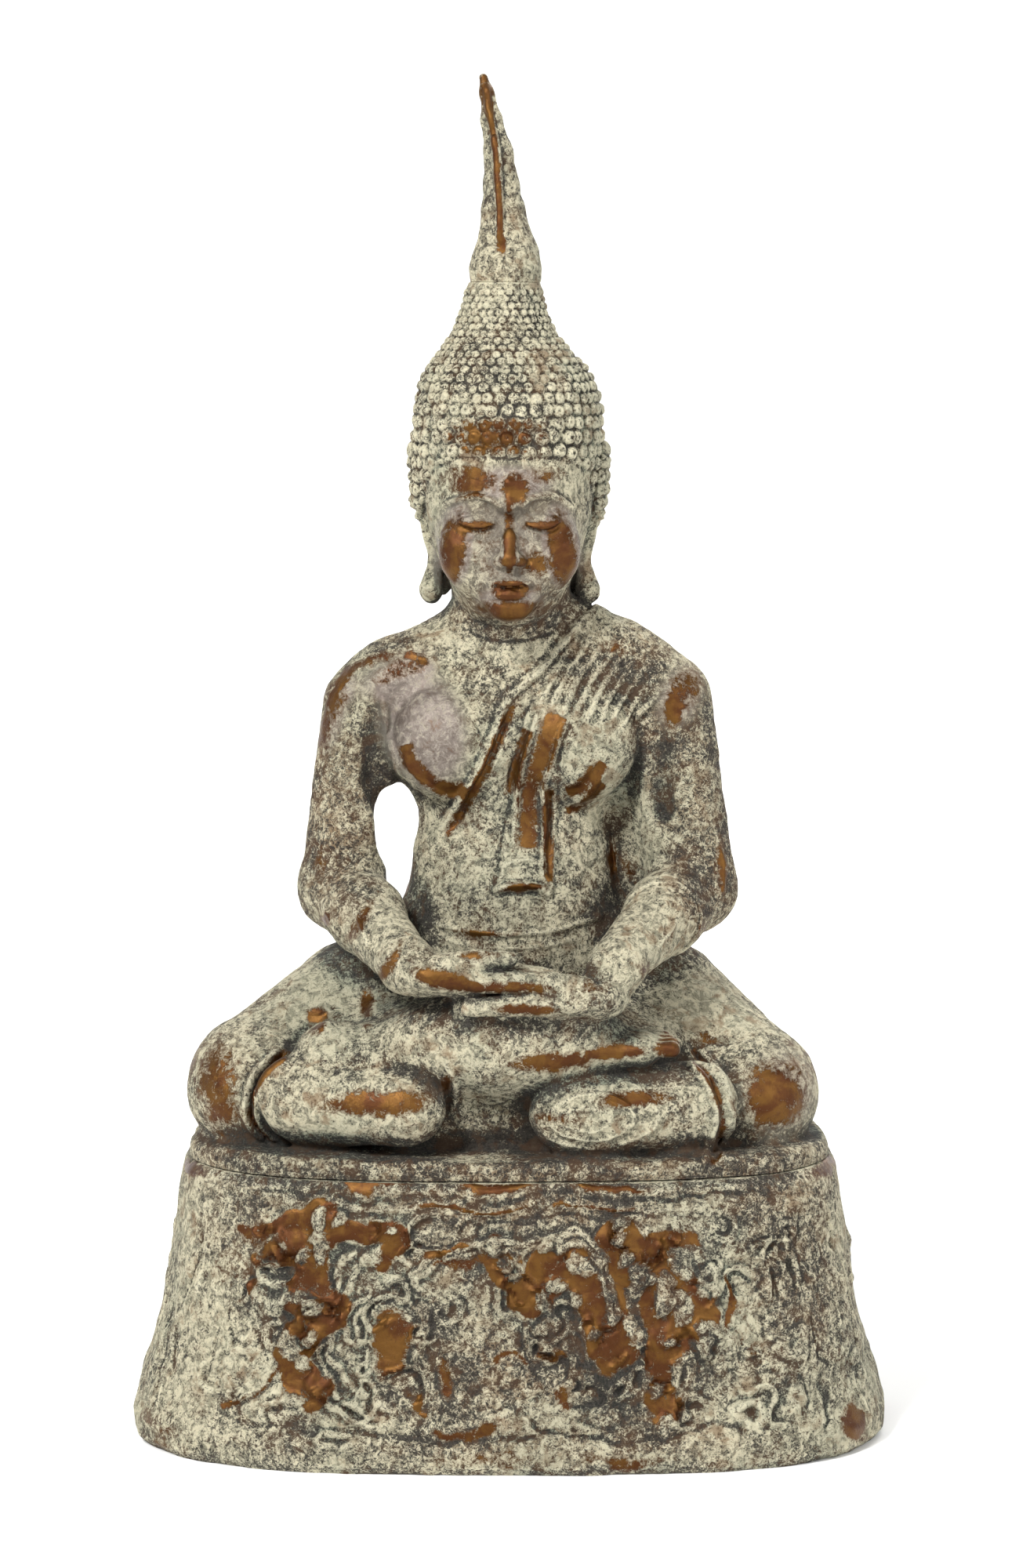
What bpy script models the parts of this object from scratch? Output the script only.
"""A seated bronze Buddha on a hollow oval pedestal, as a bench would take it apart.

The bronze is cast by lost wax in seven sections that meet on flat joints: pedestal, lap with both hands,
torso, two arms, head and flame finial. The torso and the head still hold their clay cores, an iron rod runs
through both, iron pins hold the cores off the wall, and rivets fasten the lap to the pedestal's flange. The
finial's tang stands loose in a socket in the top of the head.

+Z is up, the figure looks along -Y, and the origin is on the floor under the middle of the pedestal. Every
place is written in units of U, which is one millimetre on a statue of the nominal height.
"""

import math

import bmesh
import bpy
from mathutils import Matrix, Vector

HEIGHT = 0.280
NOMINAL_HEIGHT = 280
U = HEIGHT / NOMINAL_HEIGHT

GAP = 0.3                     # what every joint and fit leaves between two solids
CORE_GAP = 1.0                # the clay shrank away from the bronze
WALL = 3.2                    # thickness of the cast walls

# Pedestal: (half width, half depth, height) of its outside, foot to deck
PLAN_POWER = 2.9              # 2 is an ellipse; more gives the flatter front and fuller corners
DECK_TOP = 58
FOOT_OUTSIDE = [(77.6, 46.0, 0), (79.0, 47.2, 1.6), (79.2, 47.5, 5.5), (77.3, 46.0, 10.5), (74.8, 44.2, 17)]
SIDE_OUTSIDE = [(72.6, 42.9, 26.5), (70.2, 41.4, 39.5), (68.9, 40.4, 48), (68.4, 39.9, 52.5), (67.6, 39.3, 56.5)]
DECK_EDGE = [(66.6, 38.6, DECK_TOP)]
DECK_OPENING = (46, 20)       # half width and half depth of the hole inside the flange
FLANGE = 3.2

# Joints of the figure
NECK_JOINT = 169.5
WAIST_JOINT = 104
SEAT_BOTTOM = DECK_TOP + 0.3
WRIST_SHARE = 0.93            # the wrist joint's place along the forearm
UNDER_ELBOW, UNDER_WRIST = 9.4, 6.5   # depth of the arm's joint face below its middle line
TORSO_FRONT = -17             # nothing of the torso reaches further forward

# Landmarks of the figure
SHOULDER = {"right": Vector((-31, 4, 151)), "left": Vector((33, 4, 151.5))}
ELBOW = {"right": Vector((-34.6, 1, 112.5)), "left": Vector((38.2, 1, 112.5))}
WRIST = {"right": Vector((-20.5, -30, 101)), "left": Vector((21.5, -30, 101))}
ARM_JOINT = {"right": Vector((-26.4, 4, 0)), "left": Vector((28, 4, 0))}
INWARD = {"right": 1, "left": -1}
HIP_R, HIP_L = (-18, 8, 82), (19, 8, 82)
KNEE_R, KNEE_L = (-52.4, -7, 73), (49.8, -7, 72.6)

# Internal parts
ROD_RADIUS, ROD_BOTTOM, ROD_TOP = 2.0, 98.5, 205
ROD_Y = 3
PIN_RADIUS = 1.0
RIVET_RADIUS, RIVET_HEAD_RADIUS, RIVET_HEAD = 1.5, 3.0, 1.4
RIVET_RING, RIVET_ANGLE = (60, 33), 35
RIVET_BITE = 3.4              # how far a rivet reaches into the lap

# Sleeves, tenons and the finial's tang
SPIGOT_RADIUS, SPIGOT_LENGTH, SPIGOT_BORE = 6.8, 7, 4.2
COLLAR_AXES, COLLAR_LENGTH, COLLAR_WALL = (17.8, 12.4), 6, 2.2
TENON_SIDE, TENON_LENGTH = 5.0, 3.4
DOWEL_RADIUS, DOWEL_LENGTH = 1.5, 4.0
FINIAL_SEAT = 237.5
TANG_TOP_RADIUS, TANG_BOTTOM_RADIUS, TANG_LENGTH = 2.7, 2.1, 11
FINIAL_X, FINIAL_Y = -0.8, 2

BRONZE = ("antique_bronze", (0.42, 0.38, 0.27), 0.55, 0.7)
CLAY = ("casting_clay", (0.30, 0.21, 0.15), 0.95, 0.0)
IRON = ("wrought_iron", (0.16, 0.11, 0.08), 0.75, 0.8)
RIVET_BRONZE = ("rivet_bronze", (0.40, 0.24, 0.10), 0.45, 0.9)


def clear_scene():
    for obj in list(bpy.data.objects):
        bpy.data.objects.remove(obj)


def collection(name):
    made = bpy.data.collections.new(name)
    bpy.context.scene.collection.children.link(made)
    return made


def material(spec):
    """The Principled material of this (name, colour, roughness, metallic), made once."""
    name, colour, roughness, metallic = spec
    if name in bpy.data.materials:
        return bpy.data.materials[name]
    made = bpy.data.materials.new(name)
    made.use_nodes = True
    shader = made.node_tree.nodes["Principled BSDF"]
    shader.inputs["Base Color"].default_value = (*colour, 1)
    shader.inputs["Roughness"].default_value = roughness
    shader.inputs["Metallic"].default_value = metallic
    return made


def new_object(name, mesh):
    obj = bpy.data.objects.new(name, mesh)
    PARTS.objects.link(obj)
    return obj


def from_bmesh(name, bm):
    """An object from this bmesh, whose points are in units of U."""
    bmesh.ops.scale(bm, vec=(U, U, U), verts=bm.verts)
    mesh = bpy.data.meshes.new(name)
    bm.to_mesh(mesh)
    bm.free()
    return new_object(name, mesh)


def add_ellipsoid(bm, centre, radii, tilt=0):
    """A scaled sphere; tilt turns it about Y, in degrees."""
    place = Matrix.Translation(centre) @ Matrix.Rotation(math.radians(tilt), 4, "Y")
    bmesh.ops.create_uvsphere(
        bm, u_segments=24, v_segments=14, radius=1, matrix=place @ Matrix.Diagonal((*radii, 1))
    )


def add_rod(bm, start, end, start_radius, end_radius, segments=20):
    """A closed cone or cylinder between two points."""
    start, end = Vector(start), Vector(end)
    along = end - start
    place = Matrix.Translation((start + end) / 2) @ along.to_track_quat("Z", "Y").to_matrix().to_4x4()
    bmesh.ops.create_cone(
        bm, cap_ends=True, segments=segments, radius1=start_radius, radius2=end_radius,
        depth=along.length, matrix=place,
    )


def add_limb(bm, *joints):
    """A chain of (point, radius) joined by cones, with a ball at each joint."""
    for (start, start_radius), (end, end_radius) in zip(joints, joints[1:]):
        add_rod(bm, start, end, start_radius, end_radius)
    for point, radius in joints:
        add_ellipsoid(bm, point, (radius,) * 3)


def add_block(bm, centre, size):
    bmesh.ops.create_cube(bm, size=1, matrix=Matrix.Translation(centre) @ Matrix.Diagonal((*size, 1)))


def apply_modifiers(obj):
    """Replaces the object's mesh by its evaluated one."""
    graph = bpy.context.evaluated_depsgraph_get()
    mesh = bpy.data.meshes.new_from_object(obj.evaluated_get(graph))
    obj.modifiers.clear()
    obj.data = mesh


def melt(obj, voxel, smoothing, faces):
    """Runs overlapping shapes together into one smooth skin of about this many triangles."""
    remesh = obj.modifiers.new("melt", "REMESH")
    remesh.mode = "VOXEL"
    remesh.voxel_size = voxel * U
    smooth = obj.modifiers.new("smooth", "SMOOTH")
    smooth.factor = 0.5
    smooth.iterations = smoothing
    apply_modifiers(obj)
    triangles = sum(len(polygon.vertices) - 2 for polygon in obj.data.polygons)
    thin = obj.modifiers.new("thin", "DECIMATE")
    thin.ratio = min(1, faces / triangles)
    apply_modifiers(obj)
    return obj


def combine(obj, others, operation):
    """Joins, cuts or keeps what is common with each of the others, which are used up."""
    for other in others:
        step = obj.modifiers.new(operation.lower(), "BOOLEAN")
        step.operation = operation
        step.object = other
        apply_modifiers(obj)
        bpy.data.objects.remove(other)
    return obj


def gather(obj, other):
    """Adds the other's shape to the object's, before the two are melted together."""
    bm = bmesh.new()
    bm.from_mesh(obj.data)
    bm.from_mesh(other.data)
    bm.to_mesh(obj.data)
    bm.free()
    bpy.data.objects.remove(other)
    return obj


def copy_of(obj, name):
    return new_object(name, obj.data.copy())


def finish(obj, spec, smooth=True):
    """Gives a part its material and shading."""
    obj.data.materials.clear()
    obj.data.materials.append(material(spec))
    if smooth:
        obj.data.shade_smooth()
        obj.data.set_sharp_from_angle(angle=math.radians(35))
    return obj


def oval(half_width, half_depth, count=40):
    """Points of a superellipse, anticlockwise from +X."""
    points = []
    for i in range(count):
        angle = 2 * math.pi * i / count
        c, s = math.cos(angle), math.sin(angle)
        points.append((
            half_width * math.copysign(abs(c) ** (2 / PLAN_POWER), c),
            half_depth * math.copysign(abs(s) ** (2 / PLAN_POWER), s),
        ))
    return points


def oval_sweep(name, profile, closed, count=40):
    """Sweeps a profile of (half width, half depth, z) round an oval plan, which Screw can't turn.

    A closed profile makes a hollow ring. An open one is capped at its two ends.
    """
    bm = bmesh.new()
    rings = [[bm.verts.new((x, y, z)) for x, y in oval(a, b, count)] for a, b, z in profile]
    pairs = list(zip(rings, rings[1:]))
    if closed:
        pairs.append((rings[-1], rings[0]))
    for low, high in pairs:
        for i in range(len(low)):
            j = (i + 1) % len(low)
            bm.faces.new((low[i], low[j], high[j], high[i]))
    if not closed:
        bm.faces.new(list(reversed(rings[0])))
        bm.faces.new(rings[-1])
    bmesh.ops.recalc_face_normals(bm, faces=bm.faces)
    return from_bmesh(name, bm)


def pedestal_shell():
    """The flared base: an even wall, open below, with a flange round the opening in its deck."""
    outside = FOOT_OUTSIDE + SIDE_OUTSIDE + DECK_EDGE
    inside = [(a - WALL, b - WALL, z) for a, b, z in FOOT_OUTSIDE + SIDE_OUTSIDE if z < DECK_TOP - FLANGE]
    flange = [(*DECK_OPENING, DECK_TOP), (*DECK_OPENING, DECK_TOP - FLANGE)]
    a, b, _ = inside[-1]
    flange.append((a - 1, b - 1, DECK_TOP - FLANGE))
    shell = oval_sweep("pedestal_shell", outside + flange + inside[::-1], closed=True)
    holes = []
    for i, (x, y) in enumerate(rivet_places()):
        bm = bmesh.new()
        add_rod(bm, (x, y, DECK_TOP - 8), (x, y, DECK_TOP + 4), *[RIVET_RADIUS + GAP] * 2)
        holes.append(from_bmesh(f"rivet_hole_{i}", bm))
    return finish(combine(shell, holes, "DIFFERENCE"), BRONZE)


def rivet_places():
    a, b = RIVET_RING
    c, s = math.cos(math.radians(RIVET_ANGLE)), math.sin(math.radians(RIVET_ANGLE))
    return [(side * a * c, end * b * s) for side in (-1, 1) for end in (-1, 1)]


def figure_form():
    """The whole figure below the head as one skin, before it is cut into sections."""
    bm = bmesh.new()
    add_ellipsoid(bm, (0.5, 6, 100), (24, 16.5, 17))
    add_ellipsoid(bm, (0.8, 3, 118), (21, 15.5, 20))
    add_ellipsoid(bm, (1, 3.5, 143), (25.5, 15.5, 20))
    add_limb(bm, ((-24, 4, 155), 9), ((26, 4, 155.5), 9.4))
    add_limb(bm, ((0.5, 4, 157), 14), ((0, 3, 178), 11.6))
    add_ellipsoid(bm, (19, 3, 160.5), (13, 10, 6), tilt=22)
    for side in INWARD:
        add_limb(bm, (SHOULDER[side], 9.2), (ELBOW[side], 8.6), (WRIST[side], 5.6))
    add_ellipsoid(bm, (26, 3, 124), (9, 7, 24), tilt=-10)
    add_hands(bm)
    add_legs(bm)
    form = gather(from_bmesh("figure_form", bm), seat_plate())
    return melt(form, voxel=1.5, smoothing=6, faces=3600)


def seat_plate():
    """The low rounded plate that the legs are cast on."""
    edge = [(63.6, 34.6), (65.8, 37), (66, 37.2), (64.4, 35.4), (60, 31)]
    heights = (-3, 0, 1.6, 3.6, 5)
    profile = [(a, b, DECK_TOP + up) for (a, b), up in zip(edge, heights)]
    return oval_sweep("seat_plate", profile, closed=False)


def add_hands(bm):
    """Both hands lie palm up in the lap, the right one on the left."""
    add_ellipsoid(bm, (7, -34, 95), (13, 9, 3.9))
    add_limb(bm, ((0, -36, 95), 3.6), ((-17, -36, 95.5), 2.9))
    add_ellipsoid(bm, (-8, -33, 98.6), (13, 8.6, 3.9))
    add_limb(bm, ((0, -35, 98.8), 3.6), ((13, -34, 98.5), 2.9))


def add_legs(bm):
    """Crossed legs on a low seat, the right foot up on the left thigh."""
    add_ellipsoid(bm, (0, 4, 77), (47, 30, 20))
    add_ellipsoid(bm, (0, 4, 69), (57, 30, 17))
    add_ellipsoid(bm, (0, -22, 84), (24, 16, 11))
    for side in (-1, 1):
        add_ellipsoid(bm, (side * 33, 8, 82), (20, 18, 14))
    add_limb(bm, (HIP_R, 16.5), (KNEE_R, 14))
    add_limb(bm, (HIP_L, 16.5), (KNEE_L, 14))
    add_limb(bm, ((-49, -19, 72), 10.5), ((-15, -30, 72.5), 9))
    add_limb(bm, ((45, -20, 71.5), 9.5), ((8, -31, 71.5), 8.4))
    add_limb(bm, ((-46, -8, 78), 11), ((2, -26, 82), 8), ((33, -22, 82.5), 6.4))


def block(name, planes):
    """A large cube trimmed to planes, each a (point, normal) with its normal pointing out."""
    bm = bmesh.new()
    bmesh.ops.create_cube(bm, size=2 * NOMINAL_HEIGHT)
    bmesh.ops.translate(bm, vec=(0, 0, NOMINAL_HEIGHT / 2), verts=bm.verts)
    for point, normal in planes:
        geometry = bm.verts[:] + bm.edges[:] + bm.faces[:]
        bmesh.ops.bisect_plane(bm, geom=geometry, plane_co=point, plane_no=normal, clear_outer=True)
        bmesh.ops.holes_fill(bm, edges=[edge for edge in bm.edges if edge.is_boundary])
    bmesh.ops.recalc_face_normals(bm, faces=bm.faces)
    return from_bmesh(name, bm)


def arm_block(side, grow=0.0):
    """The space that holds one arm and nothing else, moved out by grow on the faces of its joints."""
    elbow, wrist = ELBOW[side], WRIST[side]
    along = (wrist - elbow).normalized()
    inward = Vector((-along.y, along.x, 0)).normalized() * INWARD[side]
    under_elbow = elbow - Vector((0, 0, UNDER_ELBOW))
    under_wrist = wrist - Vector((0, 0, UNDER_WRIST))
    down = (under_wrist - under_elbow).cross(inward).normalized()
    down *= -math.copysign(1, down.z)
    planes = [
        (ARM_JOINT[side] + inward * grow, inward),
        (under_elbow + down * grow, down),
        (elbow.lerp(wrist, WRIST_SHARE) + along * grow, along),
    ]
    return block(f"{side}_arm_block", planes)


def torso_block(grow=0.0):
    """The space over the waist joint and behind the forearms."""
    front = Vector((0, TORSO_FRONT - grow, 0))
    return block("torso_block", [((0, 0, WAIST_JOINT - grow), (0, 0, -1)), (front, (0, -1, 0))])


def slab_above(z):
    return block("slab_above", [((0, 0, z), (0, 0, -1))])


def slab_below(z):
    return block("slab_below", [((0, 0, z), (0, 0, 1))])


def inner_form(name, grow=0.0):
    """The space inside the torso. Grown by the core gap it is the cavity; as it is, the clay core."""
    bm = bmesh.new()
    add_ellipsoid(bm, (0.8, 3, 113), (16 + grow, 10.5 + grow, 22 + grow))
    add_ellipsoid(bm, (1, 4, 143), (20 + grow, 9.6 + grow, 15.5 + grow))
    return melt(from_bmesh(name, bm), voxel=1.5, smoothing=4, faces=700)


def rod_hole(name, bottom, top):
    bm = bmesh.new()
    add_rod(bm, (0, ROD_Y, bottom), (0, ROD_Y, top), *[ROD_RADIUS + GAP] * 2, segments=12)
    return from_bmesh(name, bm)


def pin(name, start, end, grow=0.0):
    """A core pin. Grown by a gap it is the hole it sits in."""
    along = (Vector(end) - Vector(start)).normalized() * grow
    bm = bmesh.new()
    add_rod(bm, Vector(start) - along, Vector(end) + along, *[PIN_RADIUS + grow] * 2, segments=10)
    return from_bmesh(name, bm)


# Core pins: outer end, 1.4 under the bronze's skin, then inner end, inside the clay
TORSO_PINS = [
    ((0.8, -10.8, 116), (0.8, -2.5, 116)),
    ((0.8, 14.8, 116), (0.8, 7.5, 116)),
    ((9, -8.4, 146), (9, -1.5, 146)),
    ((-9, 14.0, 146), (-9, 7.5, 146)),
]
HEAD_PINS = [
    ((-16.8, 4, 203), (-9, 4, 203)),
    ((16.8, 4, 203), (9, 4, 203)),
]


def pins(prefix, places, grow=0.0, first=1):
    return [pin(f"{prefix}_{i}", a, b, grow) for i, (a, b) in enumerate(places, first)]


def torso_casting(form):
    """Trunk and shoulders: hollow, open at the waist, with a collar below and a round neck above."""
    torso = combine(copy_of(form, "torso_casting"), [torso_block()], "INTERSECT")
    bm = bmesh.new()
    add_rod(bm, (0, ROD_Y, 150), (0, ROD_Y, NECK_JOINT + 5), *[SPIGOT_RADIUS + GAP] * 2)
    neck_hole = from_bmesh("neck_hole", bm)
    cavity = combine(inner_form("cavity", CORE_GAP), [neck_hole], "UNION")
    cuts = [slab_above(NECK_JOINT), cavity, *pins("pin_hole", TORSO_PINS, GAP)]
    for side in INWARD:
        cuts += [arm_block(side, GAP), tenon(side, GAP)]
    combine(torso, cuts, "DIFFERENCE")
    collar = oval_tube("collar", WAIST_JOINT - COLLAR_LENGTH, WAIST_JOINT + 1.5)
    return finish(combine(torso, [collar], "UNION"), BRONZE)


def oval_tube(name, bottom, top, bored=True, grow=0.0):
    """The collar under the torso. Grown and with no bore, it is the hole that the collar drops into."""
    a, b = COLLAR_AXES
    ring = [(a + grow, b + grow, bottom), (a + grow, b + grow, top)]
    if bored:
        ring += [(a - COLLAR_WALL, b - COLLAR_WALL, z) for z in (top, bottom)]
    tube = oval_sweep(name, ring, closed=bored, count=36)
    tube.data.transform(Matrix.Translation((0.8 * U, ROD_Y * U, 0)))
    return tube


def tenon(side, grow=0.0):
    """The square peg inside a shoulder. Grown by a gap it is the mortise in the torso."""
    joint, shoulder = ARM_JOINT[side], SHOULDER[side]
    length = TENON_LENGTH + 2 + grow
    centre = (joint.x + INWARD[side] * (length / 2 - 2), shoulder.y, shoulder.z)
    bm = bmesh.new()
    add_block(bm, centre, (length, TENON_SIDE + 2 * grow, TENON_SIDE + 2 * grow))
    return from_bmesh(f"{side}_tenon", bm)


def dowel(side, grow=0.0):
    """The round peg at a wrist, along the forearm. Grown by a gap it is its hole in the lap."""
    elbow, wrist = ELBOW[side], WRIST[side]
    centre = elbow.lerp(wrist, WRIST_SHARE)
    along = (wrist - elbow).normalized()
    start, end = centre - along * 3, centre + along * (DOWEL_LENGTH + grow)
    bm = bmesh.new()
    add_rod(bm, start, end, *[DOWEL_RADIUS + grow] * 2, segments=12)
    return from_bmesh(f"{side}_dowel", bm)


def arm_casting(form, side):
    arm = combine(copy_of(form, f"{side}_arm_casting"), [arm_block(side)], "INTERSECT")
    return finish(combine(arm, [tenon(side), dowel(side)], "UNION"), BRONZE)


def lap_casting(form):
    """Crossed legs, seat and both hands: hollow, open below and under the torso."""
    bm = bmesh.new()
    add_ellipsoid(bm, (0, 4, 66), (46, 23, 19))
    add_ellipsoid(bm, (0, 7, 84), (21, 15, 12))
    add_ellipsoid(bm, (0, 4, SEAT_BOTTOM), (50, 26, 9))
    cuts = [
        slab_below(SEAT_BOTTOM),
        torso_block(GAP),
        melt(from_bmesh("lap_cavity", bm), voxel=1.8, smoothing=4, faces=700),
        oval_tube("collar_hole", 82, WAIST_JOINT + 6, bored=False, grow=GAP),
    ]
    for side in INWARD:
        cuts += [arm_block(side, GAP), dowel(side, GAP)]
    for i, (x, y) in enumerate(rivet_places()):
        bm = bmesh.new()
        top = SEAT_BOTTOM + RIVET_BITE + GAP
        add_rod(bm, (x, y, SEAT_BOTTOM - 4), (x, y, top), *[RIVET_RADIUS + GAP] * 2, segments=16)
        cuts.append(from_bmesh(f"rivet_seat_{i}", bm))
    return finish(combine(copy_of(form, "lap_casting"), cuts, "DIFFERENCE"), BRONZE)


def head_form():
    """Head, ears and the pointed crown of hair, down to the middle of the neck."""
    bm = bmesh.new()
    add_ellipsoid(bm, (0, 3, 200), (19.4, 21, 21.5))
    add_ellipsoid(bm, (0, -4, 190.5), (15.8, 18, 20.5))
    add_limb(bm, ((0, 3, 166), 11.6), ((0, 3, 182), 11.6))
    crown = [((-0.2, 2, 210), 17), ((-0.5, 2, 218), 14.4), ((-0.8, 2, 226), 10.4), ((-0.8, 2, 240), 7.4)]
    add_limb(bm, *crown)
    for side in (-1, 1):
        add_ellipsoid(bm, (side * 18.4, 4, 195), (2.2, 5.2, 11.5), tilt=side * 4)
        add_limb(bm, ((side * 17.4, 4, 186), 2.2), ((side * 16.2, 3.5, 176.5), 2.8))
    add_limb(bm, ((0, -20.4, 196.5), 1.8), ((0, -22.6, 187.5), 2.8))
    add_ellipsoid(bm, (0, -19.2, 180.2), (5, 3, 2.4))
    add_ellipsoid(bm, (0, -17, 173.4), (5, 3.6, 3))
    return melt(from_bmesh("head_form", bm), voxel=1.0, smoothing=4, faces=1500)


def head_space(name, grow=0.0):
    """The space inside the head. Grown by the core gap it is the cavity; as it is, the clay core."""
    bm = bmesh.new()
    add_ellipsoid(bm, (0, 3, 201), (15.5 + grow, 16.5 + grow, 16.5 + grow))
    add_ellipsoid(bm, (0, -1.5, 191), (11.8 + grow, 13.5 + grow, 14.5 + grow))
    return melt(from_bmesh(name, bm), voxel=1.5, smoothing=4, faces=600)


def head_casting():
    """Hollow head with a spigot that drops into the neck, and a socket for the finial's tang."""
    head = head_form()
    head.name = "head_casting"
    combine(head, [slab_below(NECK_JOINT + GAP), slab_above(FINIAL_SEAT)], "DIFFERENCE")
    bm = bmesh.new()
    add_rod(bm, (0, ROD_Y, NECK_JOINT - SPIGOT_LENGTH), (0, ROD_Y, NECK_JOINT + 6), *[SPIGOT_RADIUS] * 2)
    combine(head, [from_bmesh("spigot", bm)], "UNION")
    bm = bmesh.new()
    add_rod(bm, (0, ROD_Y, NECK_JOINT - SPIGOT_LENGTH - 2), (0, ROD_Y, NECK_JOINT + 14), *[SPIGOT_BORE] * 2)
    bore = from_bmesh("neck_bore", bm)
    bm = bmesh.new()
    socket_bottom = FINIAL_SEAT - TANG_LENGTH - 2 * GAP
    add_rod(
        bm, (FINIAL_X, FINIAL_Y, socket_bottom), (FINIAL_X, FINIAL_Y, FINIAL_SEAT + 2),
        TANG_BOTTOM_RADIUS + GAP, TANG_TOP_RADIUS + GAP,
    )
    socket = from_bmesh("finial_socket", bm)
    cuts = [head_space("head_cavity", CORE_GAP), bore, socket, *pins("head_pin_hole", HEAD_PINS, GAP)]
    return finish(combine(head, cuts, "DIFFERENCE"), BRONZE)


def flame_finial():
    """The flame: a flared foot that narrows to a tip bent to the figure's right, on a tapered tang."""
    spine = [
        ((-0.8, 2, FINIAL_SEAT - 3), 7.2), ((-0.8, 2, 241), 7.5), ((-1.0, 2, 244), 6.4), ((-1.3, 2, 248), 5.2),
        ((-1.7, 2, 256), 3.7), ((-2.7, 2, 264), 2.8), ((-4.2, 2, 272), 1.8), ((-5.4, 2, 279.35), 0.8),
    ]
    bm = bmesh.new()
    add_limb(bm, *spine)
    flame = melt(from_bmesh("flame_finial", bm), voxel=0.45, smoothing=2, faces=640)
    combine(flame, [slab_below(FINIAL_SEAT + GAP)], "DIFFERENCE")
    bm = bmesh.new()
    add_rod(
        bm, (FINIAL_X, FINIAL_Y, FINIAL_SEAT - TANG_LENGTH), (FINIAL_X, FINIAL_Y, FINIAL_SEAT + 2),
        TANG_BOTTOM_RADIUS, TANG_TOP_RADIUS,
    )
    return finish(combine(flame, [from_bmesh("tang", bm)], "UNION"), BRONZE)


def torso_clay_core():
    """What is left of the core that the torso was cast round, with its holes for rod and pins."""
    cuts = [
        slab_below(WAIST_JOINT - COLLAR_LENGTH),
        rod_hole("rod_room", 80, 180),
        *pins("core_hole", TORSO_PINS, GAP),
    ]
    return finish(combine(inner_form("torso_clay_core"), cuts, "DIFFERENCE"), CLAY)


def head_clay_core():
    core = head_space("head_clay_core")
    cuts = [rod_hole("rod_room_head", 160, ROD_TOP + GAP), *pins("head_core_hole", HEAD_PINS, GAP)]
    return finish(combine(core, cuts, "DIFFERENCE"), CLAY)


def armature_rod():
    """The iron rod that carried both cores while the bronze was poured."""
    bm = bmesh.new()
    add_rod(bm, (0, ROD_Y, ROD_BOTTOM), (0, ROD_Y, ROD_TOP), ROD_RADIUS, ROD_RADIUS, segments=12)
    return finish(from_bmesh("armature_rod", bm), IRON)


def base_rivet(index, x, y):
    """A rivet up through the pedestal's flange into the lap, its domed head underneath."""
    under = DECK_TOP - FLANGE - GAP
    bm = bmesh.new()
    add_rod(bm, (x, y, under - 0.5), (x, y, SEAT_BOTTOM + RIVET_BITE), *[RIVET_RADIUS] * 2, segments=16)
    shank = from_bmesh(f"base_rivet_{index}", bm)
    bm = bmesh.new()
    head = (x, y, under - RIVET_HEAD)
    add_rod(bm, head, (x, y, under), RIVET_HEAD_RADIUS * 0.7, RIVET_HEAD_RADIUS, segments=16)
    return finish(combine(shank, [from_bmesh("rivet_head", bm)], "UNION"), RIVET_BRONZE)


def build():
    pedestal_shell()
    form = figure_form()
    lap_casting(form)
    torso_casting(form)
    arm_casting(form, "right")
    arm_casting(form, "left")
    bpy.data.objects.remove(form)
    head_casting()
    flame_finial()
    torso_clay_core()
    head_clay_core()
    armature_rod()
    for made in pins("core_pin", TORSO_PINS) + pins("core_pin", HEAD_PINS, first=len(TORSO_PINS) + 1):
        finish(made, IRON)
    for i, (x, y) in enumerate(rivet_places(), 1):
        base_rivet(i, x, y)


clear_scene()
PARTS = collection("seated_buddha")
build()
